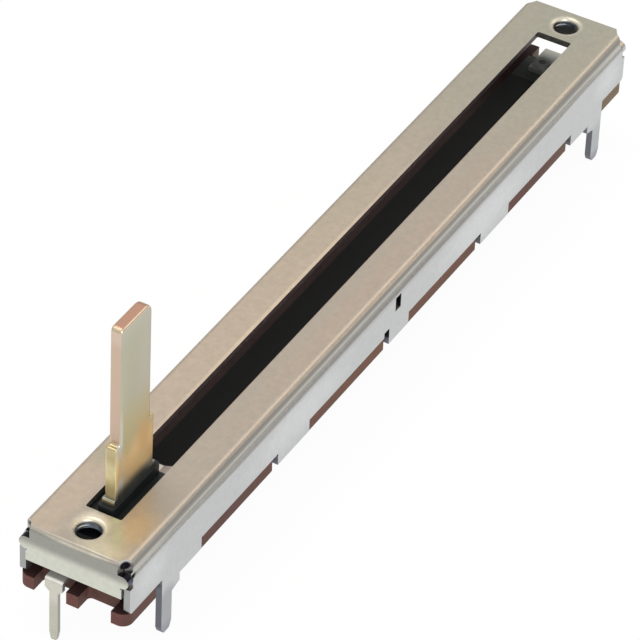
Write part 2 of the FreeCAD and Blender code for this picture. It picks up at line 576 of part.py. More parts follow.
# The lever is stamped from thick strip: blade, wider stem, foot and a tang that is pressed into the carrier.
# Its two top corners are rounded unequally.
def make_lever():
    lever = new_body("lever", LEVER_AT)
    side = new_sketch(lever, "XZ_Plane")
    lever_top = "(face_high + lever_reach)"
    foot_top = "(face_high + rib_proud + foot_high)"
    outline(side, half_profile([
        ("lever_wide / 2", lever_top), ("lever_wide / 2", "face_high + stem_high"),
        (STEM_HALF, "face_high + stem_high"), (STEM_HALF, foot_top), (FOOT_HALF, foot_top),
        (FOOT_HALF, RIB_TOP), (TANG_HALF, RIB_TOP), (TANG_HALF, TANG_LOW)]))
    solid(lever, "Pad", side, "lever_thick", symmetric=True)
    top_corner = lambda e: along(e, 1) and near(e.CenterOfMass.z, value(lever_top))
    rounded(lever, "lever_round_near", lambda e: top_corner(e) and e.CenterOfMass.x < 0)
    rounded(lever, "lever_round_far", lambda e: top_corner(e) and e.CenterOfMass.x > 0)
    rounded(lever, "foot_soften", lambda e: along(e, 1) and passes(e, x=FOOT_HALF, z=foot_top))
    rounded(lever, "lever_soften", lambda e: e.BoundBox.ZMin > value(foot_top + " + foot_soften")
            or (along(e, 2) and e.BoundBox.ZMax > value("face_high + stem_high - lever_soften")))
    return lever


# The wiper spring is one sheet: a plate under the carrier and two groups of fingers that bend to the tracks.
def make_wiper_spring():
    wiper = new_body("wiper_spring", LEVER_AT)
    side = new_sketch(wiper, "XZ_Plane")
    half_wide = "(%s - skid_wide - wiper_room)" % BASE_HALF
    touch = "(face_high - wall_deep + print_thick + wiper_gap)"
    outline(side, [
        ("-wiper_back", BASE_LOW), ("-wiper_back", BASE_LOW + " - wiper_thick"),
        ("wiper_root", BASE_LOW + " - wiper_thick"), ("wiper_touch", touch),
        ("wiper_tip + wiper_thick / 2", touch + " + wiper_lift"),
        ("wiper_tip - wiper_thick / 2", touch + " + wiper_lift + wiper_thick"),
        ("wiper_touch", touch + " + wiper_thick"), ("wiper_root + wiper_thick / 2", BASE_LOW)])
    solid(wiper, "Pad", side, "2 * " + half_wide, symmetric=True)
    cuts = new_sketch(wiper, "XY_Plane")
    step = "(finger_wide + finger_split)"
    group = "(3 * finger_wide + 2 * finger_split)"
    inner = "(%s - %s / 2)" % (TRACK_AT, group)
    for sign in ("", "-"):
        for i in range(2):
            low = "(%s + finger_wide + %d * %s)" % (inner, i, step)
            rectangle(cuts, "wiper_root", "2 * wiper_tip", sign + low, "%s(%s + finger_split)" % (sign, low))
        outer = "%s(%s + %s)" % (sign, inner, group)
        rectangle(cuts, "wiper_root", "2 * wiper_tip", outer, sign + "frame_wide")
    rectangle(cuts, "wiper_root", "2 * wiper_tip", "-" + inner, inner)
    solid(wiper, "Pocket", cuts, "2 * face_high", symmetric=True)
    holes = new_sketch(wiper, "XY_Plane")
    for side_sign in ("", "-"):
        circle(holes, "-stake_back", side_sign + "stake_out", "stake_wide")
    solid(wiper, "Pocket", holes, "2 * face_high", symmetric=True)
    return wiper


# The friction spring is a bent strip across the carrier; its two crowns press up beside the slot.
def make_friction_spring():
    spring = new_body("friction_spring", LEVER_AT)
    section = new_sketch(spring, "YZ_Plane", STRIP_NEAR)
    crown = "(face_high - sheet - strip_gap)"
    crown_at = "(slot_wide / 2 + crown_out)"
    flat_end = "(slot_wide / 2 + crown_out - crown_slope)"
    strip_end = "(%s - strip_in)" % BASE_HALF
    upper = [(flat_end, crown + " - strip_dip"), (crown_at, crown), (strip_end, BASE_TOP + " + strip_thick")]
    lower = [(strip_end, BASE_TOP), (crown_at, crown + " - strip_thick"),
             (flat_end, crown + " - strip_dip - strip_thick")]
    outline(section, half_profile(upper + lower))
    solid(spring, "Pad", section, "strip_wide")
    return spring


TRACK_INNER = "(%s - track_wide)" % TRACK_OUTER
pieces = [
    make_frame(),
    make_board(),
    make_print("resistive_track", "", [("-" + TRACK_HALF, TRACK_HALF, TRACK_INNER)]),
    make_print("near_pad", "", [("-" + PAD_END, "-" + TRACK_HALF, PAD_INNER)], "-" + EYELET_AT),
    make_print("far_pad", "", [(TRACK_HALF, PAD_END, PAD_INNER)], EYELET_AT),
    make_print("collector_track", "-", [("-" + TRACK_HALF, TRACK_HALF, TRACK_INNER),
                                        (TRACK_HALF, PAD_END, PAD_INNER)], EYELET_AT),
    make_terminal("near_terminal", "", False),
    make_terminal("far_terminal_left", "", True),
    make_terminal("far_terminal_right", "-", True),
    make_eyelet("near_eyelet", "-" + EYELET_AT, "terminal_at"),
    make_eyelet("far_eyelet_left", EYELET_AT, "terminal_at"),
    make_eyelet("far_eyelet_right", EYELET_AT, "-terminal_at"),
    make_carrier(),
    make_lever(),
    make_wiper_spring(),
    make_friction_spring(),
]

doc.recompute()
for thing in doc.Objects:
    if "Invalid" in thing.State or "Error" in thing.State:
        raise RuntimeError("%s is in state %s" % (thing.Label, thing.State))
for piece in pieces:
    if piece.Shape.isNull() or not piece.Shape.isValid():
        raise RuntimeError(piece.Label + " has no valid shape")
for piece in pieces:
    piece.Shape.exportStep("parts/%s.step" % piece.Label)
    box = piece.Shape.BoundBox
    print("%-20s %d solid %8.2f mm3  x %.2f..%.2f  y %.2f..%.2f  z %.2f..%.2f" % (
        piece.Label, len(piece.Shape.Solids), piece.Shape.Volume,
        box.XMin, box.XMax, box.YMin, box.YMax, box.ZMin, box.ZMax))
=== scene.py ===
"""Slide potentiometer with a folded steel frame: finishes, screw threads, light and camera."""

import logging
import math
from dataclasses import dataclass
from enum import Enum
from typing import Any

import bpy
import numpy as np
from mathutils import Matrix, Vector


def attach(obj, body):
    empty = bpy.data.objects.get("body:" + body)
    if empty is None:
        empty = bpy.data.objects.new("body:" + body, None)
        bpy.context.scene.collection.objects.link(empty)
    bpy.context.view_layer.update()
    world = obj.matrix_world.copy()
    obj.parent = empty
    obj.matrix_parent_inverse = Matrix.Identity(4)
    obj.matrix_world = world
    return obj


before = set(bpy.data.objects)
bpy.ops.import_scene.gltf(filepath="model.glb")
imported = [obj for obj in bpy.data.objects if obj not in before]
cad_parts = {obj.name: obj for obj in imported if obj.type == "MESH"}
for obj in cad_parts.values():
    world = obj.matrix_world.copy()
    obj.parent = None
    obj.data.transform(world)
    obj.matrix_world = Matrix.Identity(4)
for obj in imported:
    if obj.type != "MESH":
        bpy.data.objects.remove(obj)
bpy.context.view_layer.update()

MM = 0.001
LOG = logging.getLogger("potentiometer")

# Half size of a tint that isn't limited along an axis, in mm: well past the part's own 75 mm.
ALL = 400.0
# Places on the part, in mm: its face above the legs' tips, the outer face of its walls and the tapped holes.
FACE = 9.8
WALL = 4.5
HOLE = 35.5
# The band that most of a noise pattern's values lie in.
NOISE_LOW, NOISE_HIGH = 0.3, 0.7


class Body(Enum):
    """The two groups of pieces that move against each other."""

    HOUSING = "housing"
    SLIDER = "slider"


class Texture(Enum):
    """Where a pattern takes its coordinates from."""

    PLACE = "Object"
    FACING = "Normal"


class Repeat(Enum):
    """Where a region of tint lies again, as the signs of X, Y and Z that it is mirrored by."""

    ONCE = (1.0, 1.0, 1.0)
    SIDES = (1.0, -1.0, 1.0)
    CORNERS = (-1.0, -1.0, 1.0)


def linear(colour: str) -> tuple[float, float, float, float]:
    """Turns a hex sRGB colour into linear light.

    Args:
        colour: six hex digits, such as "c8b99c".

    Returns:
        Red, green, blue and an alpha of 1.
    """
    parts = [int(colour[i:i + 2], 16) / 255 for i in (0, 2, 4)]
    # the sRGB curve: a straight foot, then a power
    light = [c / 12.92 if c <= 0.04045 else ((c + 0.055) / 1.055) ** 2.4 for c in parts]
    return (light[0], light[1], light[2], 1.0)


def put(
    tree: bpy.types.NodeTree,
    kind: str,
    sockets: dict[str | int, Any] | None = None,
    settings: dict[str, Any] | None = None,
    ramp: list[tuple[float, str]] | None = None,
) -> bpy.types.Node:
    """Adds one node with its settings, values and links.

    Args:
        tree: the node tree that gets it.
        kind: the node's type without the words ShaderNode.
        sockets: input by name or number; an output socket is linked, a value is set.
        settings: attributes of the node.
        ramp: stops of a colour ramp, as places and hex colours.

    Returns:
        The new node.
    """
    node = tree.nodes.new("ShaderNode" + kind)
    for name, setting in (settings or {}).items():
        setattr(node, name, setting)
    if ramp:
        stops = node.color_ramp.elements
        while len(stops) < len(ramp):
            stops.new(0.5)
        for stop, (place, colour) in zip(stops, ramp):
            stop.position = place
            stop.color = linear(colour)
    for name, given in (sockets or {}).items():
        if isinstance(given, bpy.types.NodeSocket):
            tree.links.new(given, node.inputs[name])
        else:
            node.inputs[name].default_value = given
    return node


def noise(
    tree: bpy.types.NodeTree,
    place: bpy.types.NodeSocket,
    size_mm: float,
    detail: float,
    **more: float,
) -> bpy.types.NodeSocket:
    """Adds a noise pattern of a real size.

    Args:
        tree: the node tree that gets it.
        place: the coordinates that it follows.
        size_mm: size of its clouds, in mm.
        detail: how many finer layers lie over them.
        more: further inputs by name, such as Roughness.

    Returns:
        The pattern, about 0.5 in the middle.
    """
    sockets = {"Vector": place, "Scale": 1 / (size_mm * MM), "Detail": detail, **more}
    return put(tree, "TexNoise", sockets).outputs["Fac"]


def empty_material(name: str) -> tuple[bpy.types.Material, bpy.types.NodeTree, bpy.types.Node]:
    """Makes a material with only a principled shader and its output.

    Args:
        name: the finish's name.

    Returns:
        The material, its tree and the principled shader.
    """
    material = bpy.data.materials.new(name)
    material.use_nodes = True
    tree = material.node_tree
    tree.nodes.clear()
    shader = put(tree, "BsdfPrincipled")
    put(tree, "OutputMaterial", {"Surface": shader.outputs["BSDF"]})
    return material, tree, shader


@dataclass(frozen=True)
class Tint:
    """A soft-edged region of another tint on a finish.

    Its share is full inside an ellipsoid and falls smoothly to nothing at the rim. With a facing, the cosine
    between that direction and the surface's own has to lie within a range too.

    Attributes:
        colour: its tint.
        strength: its largest share.
        centre: middle of the ellipsoid, in mm.
        half: its half sizes along X, Y and Z, in mm.
        fade: part of the half size over which the rim fades.
        turn: turn of the ellipsoid about Z, in degrees.
        repeat: whether it lies once, on both sides or at all four corners.
        facing: direction that the surface has to look in, or none for any.
        both: whether a surface that looks the opposite way counts as well.
        cosines: least and largest cosine that count in full.
        soft: range beyond them over which the share fades.
        ragged: how far clouds of a millimetre push the rim in and out.
    """

    colour: str
    strength: float = 1.0
    centre: tuple[float, float, float] = (0.0, 0.0, 0.0)
    half: tuple[float, float, float] = (ALL, ALL, ALL)
    fade: float = 0.5
    turn: float = 0.0
    repeat: Repeat = Repeat.ONCE
    facing: tuple[float, float, float] | None = None
    both: bool = False
    cosines: tuple[float, float] = (0.9, 1.0)
    soft: float = 0.12
    ragged: float = 0.0

    def over(self, tree: bpy.types.NodeTree, coordinates: bpy.types.Node,
             below: bpy.types.NodeSocket) -> bpy.types.NodeSocket:
        """Lays the tint over a colour.

        Args:
            tree: the node tree.
            coordinates: the texture coordinates.
            below: the colour that it lies on.

        Returns:
            The tinted colour.
        """
        place = coordinates.outputs[Texture.PLACE.value]
        corner = place
        if self.repeat is not Repeat.ONCE:
            flipped = put(tree, "VectorMath", {0: place, 1: self.repeat.value}, {"operation": "MULTIPLY"})
            corner = put(tree, "VectorMath", {0: place, 1: flipped.outputs[0]},
                         {"operation": "MAXIMUM"}).outputs[0]
        local = put(tree, "Mapping", {
            "Vector": corner, "Location": [c * MM for c in self.centre], "Scale": [h * MM for h in self.half],
            "Rotation": (0.0, 0.0, math.radians(self.turn))}, {"vector_type": "TEXTURE"})
        reach = put(tree, "VectorMath", {0: local.outputs[0]}, {"operation": "LENGTH"}).outputs["Value"]
        if self.ragged:
            clouds = noise(tree, place, 1.0, 3.0)
            reach = put(tree, "Math", {0: clouds, 1: self.ragged, 2: reach},
                        {"operation": "MULTIPLY_ADD"}).outputs[0]
        rim = 1.0 + self.ragged / 2
        share = put(tree, "MapRange", {
            "Value": reach, "From Min": rim - self.fade, "From Max": rim, "To Min": self.strength,
            "To Max": 0.0}, {"interpolation_type": "SMOOTHSTEP"}).outputs[0]
        if self.facing:
            cosine = put(tree, "VectorMath", {0: coordinates.outputs[Texture.FACING.value], 1: self.facing},
                         {"operation": "DOT_PRODUCT"}).outputs["Value"]
            if self.both:
                cosine = put(tree, "Math", {0: cosine}, {"operation": "ABSOLUTE"}).outputs[0]
            least, most = self.cosines
            away = put(tree, "Math", {0: cosine, 1: (least + most) / 2}, {"operation": "SUBTRACT"})
            away = put(tree, "Math", {0: away.outputs[0]}, {"operation": "ABSOLUTE"})
            turned = put(tree, "MapRange", {
                "Value": away.outputs[0], "From Min": (most - least) / 2,
                "From Max": (most - least) / 2 + self.soft, "To Min": 1.0, "To Max": 0.0},
                {"interpolation_type": "SMOOTHSTEP"})
            share = put(tree, "Math", {0: share, 1: turned.outputs[0]}, {"operation": "MULTIPLY"}).outputs[0]
        mix = put(tree, "Mix", {"Factor": share, "A": below, "B": linear(self.colour)}, {"data_type": "RGBA"})
        return mix.outputs["Result"]


@dataclass(frozen=True)
class Finish:
    """What every finish has: a base colour with tinted regions, a grain and a roughness.

    Attributes:
        name: the finish's name, after the real material and its process.
        colour: its base colour.
        tints: regions of another tint, the later over the earlier.
        grain_mm: size of the grain.
        grain: how far the grain moves the colour up and down, as a share.
        roughness: of the surface.
        patchy: how far the roughness moves up and down with the grain.
        relief: strength of the fine relief.
        relief_mm: its depth.
    """

    name: str
    colour: str
    tints: tuple[Tint, ...] = ()
    grain_mm: float = 0.5
    grain: float = 0.04
    roughness: float = 0.4
    patchy: float = 0.05
    relief: float = 0.15
    relief_mm: float = 0.01

    def toned(self, tree: bpy.types.NodeTree, coordinates: bpy.types.Node,
              grain: bpy.types.NodeSocket) -> bpy.types.NodeSocket:
        """Works out the colour: base and tints, times one plus the grain's share.

        Args:
            tree: the node tree.
            coordinates: the texture coordinates.
            grain: the grain's pattern, about 0.5 in the middle.

        Returns:
            The colour.
        """
        colour = put(tree, "RGB").outputs[0]
        colour.default_value = linear(self.colour)
        for tint in self.tints:
            colour = tint.over(tree, coordinates, colour)
        level = self.around(tree, grain, 1.0, self.grain)
        mix = put(tree, "Mix", {"Factor": 1.0, "A": colour, "B": level},
                  {"data_type": "RGBA", "blend_type": "MULTIPLY"})
        return mix.outputs["Result"]

    def around(self, tree: bpy.types.NodeTree, pattern: bpy.types.NodeSocket, middle: float,
               by: float) -> bpy.types.NodeSocket:
        """Lets a value follow a pattern.

        Args:
            tree: the node tree.
            pattern: the pattern, about 0.5 in the middle.
            middle: the value where the pattern is in its middle.
            by: how far the value moves to each side.

        Returns:
            The value.
        """
        return put(tree, "MapRange", {"Value": pattern, "From Min": NOISE_LOW, "From Max": NOISE_HIGH,
                                      "To Min": middle - by, "To Max": middle + by}).outputs[0]

    def lay(self, tree: bpy.types.NodeTree, shader: bpy.types.Node, coordinates: bpy.types.Node,
            pattern: bpy.types.NodeSocket, height: bpy.types.NodeSocket) -> None:
        """Links the colour, the roughness and the fine relief to the shader.

        Args:
            tree: the node tree.
            shader: the principled shader.
            coordinates: the texture coordinates.
            pattern: what colour and roughness follow.
            height: what the relief follows.
        """
        bump = put(tree, "Bump", {"Height": height, "Strength": self.relief, "Distance": self.relief_mm * MM})
        tree.links.new(self.toned(tree, coordinates, pattern), shader.inputs["Base Color"])
        tree.links.new(self.around(tree, pattern, self.roughness, self.patchy), shader.inputs["Roughness"])
        tree.links.new(bump.outputs[0], shader.inputs["Normal"])


@dataclass(frozen=True)
class PassivatedSteel(Finish):
    """Cold-rolled steel strip, zinc plated and passivated.

    The passivation is a thin clear film: it gives flat faces a straw tint with golden places, while the walls
    keep the pale grey of bare zinc. Rolling lines run along the strip.

    Attributes:
        line_mm: width of the rolling lines.
        line_squeeze: their coordinate's scale along the strip, which draws them out.
    """

    relief: float = 0.05
    line_mm: float = 0.12
    line_squeeze: float = 0.12

    def material(self) -> bpy.types.Material:
        """Builds the finish's material.

        Returns:
            The material.
        """
        material, tree, shader = empty_material(self.name)
        coordinates = put(tree, "TexCoord")
        place = coordinates.outputs[Texture.PLACE.value]
        grain = noise(tree, place, self.grain_mm, 5.0, Roughness=0.65)
        drawn = put(tree, "Mapping", {"Vector": place, "Scale": (self.line_squeeze, 1.0, 1.0)})
        lines = noise(tree, drawn.outputs[0], self.line_mm, 2.0)
        self.lay(tree, shader, coordinates, grain, lines)
        shader.inputs["Metallic"].default_value = 1.0
        return material


@dataclass(frozen=True)
class Laminate(Finish):
    """Phenolic paper laminate, punched: brown resin with paper plies that show as lines at its edges.

    Attributes:
        ply_mm: thickness of a ply.
        ply_squeeze: its coordinates' scale along the board, which draws the plies out.
        sheen: level of the clear reflection.
    """

    patchy: float = 0.06
    relief: float = 0.3
    relief_mm: float = 0.02
    ply_mm: float = 0.16
    ply_squeeze: float = 0.05
    sheen: float = 0.2

    def material(self) -> bpy.types.Material:
        """Builds the finish's material.

        Returns:
            The material.
        """
        material, tree, shader = empty_material(self.name)
        coordinates = put(tree, "TexCoord")
        place = coordinates.outputs[Texture.PLACE.value]
        fibres = noise(tree, place, self.grain_mm, 5.0, Roughness=0.65, Distortion=0.6)
        layered = put(tree, "Mapping", {"Vector": place, "Scale": (self.ply_squeeze, self.ply_squeeze, 1.0)})
        plies = noise(tree, layered.outputs[0], self.ply_mm, 2.0)
        both = put(tree, "Mix", {"Factor": 0.5, "A": fibres, "B": plies}).outputs["Result"]
        self.lay(tree, shader, coordinates, both, both)
        shader.inputs["Specular IOR Level"].default_value = self.sheen
        return material


@dataclass(frozen=True)
class Ink(Finish):
    """Screen-printed ink: a thin cured film with a fine grain.

    Attributes:
        metallic: share of metal flake.
        sheen: level of the clear reflection.
    """

    patchy: float = 0.04
    metallic: float = 0.0
    sheen: float = 0.3

    def material(self) -> bpy.types.Material:
        """Builds the finish's material.

        Returns:
            The material.
        """
        material, tree, shader = empty_material(self.name)
        coordinates = put(tree, "TexCoord")
        grain = noise(tree, coordinates.outputs[Texture.PLACE.value], self.grain_mm, 3.0)
        self.lay(tree, shader, coordinates, grain, grain)
        shader.inputs["Metallic"].default_value = self.metallic
        shader.inputs["Specular IOR Level"].default_value = self.sheen
        return material


@dataclass(frozen=True)
class BlackAcetal(Finish):
    """Acetal resin, injection moulded: near black with a waxy sheen, faint flow clouds and a fine skin.

    Attributes:
        skin_mm: size of the mould's spark texture.
        ior: refractive index of acetal.
        sheen: level of the clear reflection.
    """

    patchy: float = 0.06
    relief: float = 0.1
    skin_mm: float = 0.08
    ior: float = 1.48
    sheen: float = 0.35

    def material(self) -> bpy.types.Material:
        """Builds the finish's material.

        Returns:
            The material.
        """
        material, tree, shader = empty_material(self.name)
        coordinates = put(tree, "TexCoord")
        place = coordinates.outputs[Texture.PLACE.value]
        flow = noise(tree, place, self.grain_mm, 3.0)
        skin = noise(tree, place, self.skin_mm, 2.0)
        self.lay(tree, shader, coordinates, flow, skin)
        shader.inputs["IOR"].default_value = self.ior
        shader.inputs["Specular IOR Level"].default_value = self.sheen
        return material


@dataclass(frozen=True)
class PlatedCopperAlloy(Finish):
    """Brass or bronze strip with a tin or silver plating: soft, pale and a little cloudy.

    Attributes:
        metallic: how bare the metal is; dull tin scatters a part of the light.
    """

    relief_mm: float = 0.02
    metallic: float = 1.0

    def material(self) -> bpy.types.Material:
        """Builds the finish's material.

        Returns:
            The material.
        """
        material, tree, shader = empty_material(self.name)
        coordinates = put(tree, "TexCoord")
        cloud = noise(tree, coordinates.outputs[Texture.PLACE.value], self.grain_mm, 4.0)
        self.lay(tree, shader, coordinates, cloud, cloud)
        shader.inputs["Metallic"].default_value = self.metallic
        return material


# Directions that a surface can look in.
UP = (0.0, 0.0, 1.0)
ACROSS = (0.0, 1.0, 0.0)
ALONG = (1.0, 0.0, 0.0)
BACK = (-1.0, 0.0, 0.0)

# The frame's walls are bare zinc grey; the film on its plate is straw coloured, golden beside the near hole.
FRAME_STEEL = PassivatedSteel(
    "zinc_plated_frame_steel", "c6c7c7", (
        # pale clouds on the walls
        Tint("d8d9d9", 0.7, (14.0, WALL, 6.5), (10.0, 1.0, 2.6), 0.8, repeat=Repeat.CORNERS, ragged=0.5),
        Tint("d6d7d8", 0.7, (34.5, WALL, 7.0), (3.0, 1.0, 2.0), 0.8, repeat=Repeat.CORNERS, ragged=0.5),
        # the walls' upper band: painted shade under the fold, where it mirrors the dim horizon, and a painted
        # shaded line at the joggle; paler towards the far end
        Tint("c3c3bc", 1.0, (0.0, 0.0, 9.1), (ALL, ALL, 0.8), 0.4),
        Tint("8d8780", 1.0, (0.0, WALL, 9.28), (ALL, 0.6, 0.44), 0.6, repeat=Repeat.CORNERS),
        Tint("8e8e93", 0.7, (0.0, WALL, 8.42), (36.8, 0.6, 0.17), 0.9, repeat=Repeat.CORNERS),
        Tint("e6e7e6", 0.9, (38.0, WALL, 6.5), (3.2, 1.0, 2.6), 0.8),
        # the legs, darker towards their tips and on their narrow sides
        Tint("b2b4b6", 0.9, (0.0, 0.0, 1.4), (ALL, ALL, 2.6), 0.6),
        Tint("a7a9ac", 0.9, (-32.3, 0.0, 1.6), (2.0, ALL, 3.0), 0.4),
        Tint("96969e", 0.9, (0.0, 0.0, 0.0), (ALL, ALL, 1.2), 0.9),
        Tint("6c6d74", 1.0, (0.0, 0.0, 2.2), (ALL, ALL, 3.0), 0.2, facing=ALONG, both=True),
        # the end flange: painted reflection, dark in a band under its fold and lighter below; painted
        # highlights along the end folds, brightest on the near one
        Tint("d4d5c9", 1.0, (37.5, 0.0, 8.0), (0.12, ALL, 3.0), 0.3, repeat=Repeat.CORNERS, facing=ALONG,
             both=True),
        Tint("9f9e97", 1.0, (37.5, 0.0, 9.0), (0.3, ALL, 1.3), 0.7, repeat=Repeat.CORNERS, facing=ALONG,
             both=True),
        Tint("e4dfce", 0.9, (37.25, 0.0, 9.62), (0.5, 3.9, 0.3), 0.5, repeat=Repeat.CORNERS),
        Tint("fdf8e6", 0.9, (-37.2, -1.9, 9.7), (0.6, 2.4, 0.34), 0.8, ragged=0.2),
        # sheared edges, bare and darker: ends of the walls and sides of the ears; painted shade darkens the
        # sides of the wall's slit and the ends of the tabs further
        Tint("a8aaa8", 1.0, (37.28, 4.3, 6.4), (0.14, 0.6, 1.6), 0.3, repeat=Repeat.CORNERS, facing=ALONG,
             both=True),
        Tint("565267", 1.0, (-37.2, 4.2, 8.1), (0.5, 0.5, 0.9), 0.4, repeat=Repeat.SIDES, facing=ACROSS,
             both=True, cosines=(0.3, 1.0)),
        Tint("2b2d3c", 1.0, (0.5, -4.35, 7.37), (0.7, 0.5, 0.8), 0.1, facing=ALONG, both=True),
        Tint("3a3c48", 1.0, (0.0, 4.35, 5.9), (30.0, 0.7, 1.2), 0.1, repeat=Repeat.CORNERS, facing=ALONG,
             both=True),
        # painted reflection: folds and joggles that look down at the horizon, darkened as they mirror its dim
        # band
        Tint("8f8881", 0.6, (0.0, WALL, 9.0), (36.8, 1.5, 1.2), 0.1, repeat=Repeat.CORNERS, facing=UP,
             cosines=(0.08, 0.4)),
        # the flat plate, its film carried on over the folds; a painted highlight on the near fold, the far
        # one darker
        Tint("bcb1a3", 1.0, facing=UP, cosines=(0.7, 1.0), soft=0.2),
        Tint("dccab4", 0.9, (0.0, -4.28, 9.65), (36.7, 0.18, 0.3), 0.8),
        Tint("a3998a", 0.8, (0.0, 4.25, 9.65), (36.7, 0.3, 0.3), 0.6),
        Tint("c9b9a7", 1.0, (-16.0, 3.0, FACE), (44.0, 2.2, 2.0), 0.5, facing=UP),
        Tint("b4b1a2", 0.9, (36.0, 0.0, FACE), (24.0, 9.0, 2.0), 0.9, facing=UP),
        Tint("dcd2ba", 0.9, (-37.3, -2.0, FACE), (2.6, 2.6, 2.0), 0.8, facing=UP),
        Tint("cdb898", 0.8, (-33.8, -2.9, FACE), (2.8, 2.0, 2.0), 0.8, facing=UP, ragged=0.6),
        Tint("bda984", 0.9, (-24.9, 3.2, FACE), (1.9, 1.2, 2.0), 0.8, facing=UP, ragged=0.3),
        Tint("b9b19b", 0.8, (-28.2, 3.2, FACE), (1.9, 1.3, 2.0), 0.8, facing=UP, ragged=0.3),
        # cloudy places of the film, rosy and greenish
        Tint("c6b0a0", 0.5, (-4.0, -3.2, FACE), (30.0, 1.3, 2.0), 0.9, facing=UP, ragged=1.2),
        Tint("b3b09c", 0.3, (12.0, 3.2, FACE), (24.0, 1.3, 2.0), 0.9, facing=UP, ragged=1.2),
        # painted highlight along the rounded far edge of the slot, fading towards its ends
        Tint("e0ceb6", 0.9, (-6.0, 1.6, FACE), (27.4, 0.26, 0.5), 0.7, facing=UP, cosines=(0.6, 1.0)),
        # painted highlights: pale halos on the lips of the drawn holes; a green streak beside the near one,
        # and the bores bluish grey
        Tint("e9dec8", 0.95, (-35.1, 0.0, FACE), (1.9, 1.7, 2.0), 0.5, facing=UP, cosines=(0.5, 1.0)),
        Tint("e4dccb", 0.7, (HOLE, 0.0, FACE), (1.5, 1.5, 2.0), 0.3, facing=UP, cosines=(0.5, 1.0)),
        Tint("d5d5ad", 0.85, (-33.3, -0.9, FACE), (1.2, 0.5, 2.0), 0.7, 28.0, facing=UP),
        Tint("c0c3a5", 0.8, (-35.1, -2.1, FACE), (2.4, 0.75, 2.0), 1.0, 30.0, facing=UP, ragged=0.5),
        Tint("b4bfce", 1.0, (HOLE, 0.0, 9.2), (1.15, 1.15, 0.75), 0.2, repeat=Repeat.CORNERS, facing=UP,
             cosines=(-1.0, 0.35), soft=0.3),
        # painted shade: the bite between plate, flange and wall at both near corners, its faces darkened to a
        # shaded hole
        Tint("191722", 1.0, (-37.2, 4.05, 9.25), (0.62, 0.5, 0.62), 0.2, repeat=Repeat.SIDES),
        Tint("24222b", 1.0, (-37.2, 4.2, 8.6), (1.0, 1.0, 0.4), 0.3, repeat=Repeat.SIDES, facing=UP,
             cosines=(0.5, 1.0)),
        # sheared edges of the slot, pinkish, with painted light lifting them out of the slot's shade; painted
        # shade darkens them towards the far end, where the floor lights them through the slot
        Tint("c0acaf", 1.0, (0.0, 0.0, 9.5), (36.0, 2.6, 0.8), 0.1, facing=ACROSS, both=True),
        Tint("857c7a", 1.0, (34.0, 0.0, 9.5), (18.0, 3.9, 2.4), 0.6, facing=ACROSS, both=True)),
    grain_mm=0.4, grain=0.07, roughness=0.42)

# The lever's film runs from pale green grey above to gold at its foot; its top face is copper coloured.
LEVER_STEEL = PassivatedSteel(
    "zinc_plated_lever_steel", "b8b59f", (
        Tint("c0beb0", 0.8, (0.0, 0.0, 26.0), (ALL, ALL, 3.0), 0.8),
        Tint("c2c0a8", 0.6, (-32.4, 0.0, 18.0), (1.4, ALL, 9.0), 0.9, ragged=0.4),
        Tint("c1b9ab", 0.6, (-29.0, 0.0, 20.0), (1.6, ALL, 9.0), 0.9, ragged=0.4),
        Tint("c4b488", 0.85, (0.0, 0.0, 14.5), (ALL, ALL, 5.0), 0.8),
        Tint("e8cd9b", 0.95, (0.0, 0.0, 12.6), (ALL, ALL, 2.8), 0.7, ragged=0.2),
        Tint("d8ab6c", 0.5, (-29.2, -0.5, 14.2), (1.3, 0.4, 2.2), 0.9, ragged=0.9),
        Tint("bdb98d", 0.6, (-31.4, -0.5, 15.4), (1.2, 0.4, 3.0), 0.9, ragged=0.9),
        Tint("d6d2bd", 0.7, (-31.9, -0.5, 11.3), (1.1, 0.4, 2.2), 0.9, ragged=0.3),
        # painted reflection: the rounded edge beside the broad face pale, with a painted highlight low down;
        # the foot darkened where it mirrors the black carrier
        Tint("cbccc2", 0.8, (-32.25, -0.5, 15.6), (0.5, 0.45, 3.2), 0.6),
        Tint("e8ecec", 0.9, (-32.2, -0.5, 11.2), (0.6, 0.45, 1.4), 0.8),
        Tint("90928a", 1.0, (0.0, 0.0, 10.0), (ALL, ALL, 1.6), 0.6),
        # the narrow faces
        Tint("cfb7a4", 1.0, (0.0, 0.0, 21.0), (ALL, ALL, 7.0), 0.2, facing=BACK),
        Tint("d9c6b4", 0.7, (0.0, 0.0, 25.0), (ALL, ALL, 1.6), 0.6, facing=BACK),
        Tint("cfc39a", 1.0, (0.0, 0.0, 12.6), (ALL, ALL, 2.7), 0.2, facing=BACK),
        Tint("fffbd0", 0.9, (0.0, 0.0, 12.7), (ALL, ALL, 1.5), 0.9, facing=BACK, ragged=0.2),
        # painted highlight on the rounded edges, and the copper-coloured top
        Tint("dccab0", 0.9, (0.0, 0.0, 25.2), (ALL, ALL, 1.5), 0.2, facing=UP, cosines=(0.25, 0.85)),
        Tint("c89d87", 1.0, (0.0, 0.0, 25.2), (ALL, ALL, 1.0), 0.2, facing=UP, cosines=(0.95, 1.0))),
    grain_mm=0.8, grain=0.03, roughness=0.38)

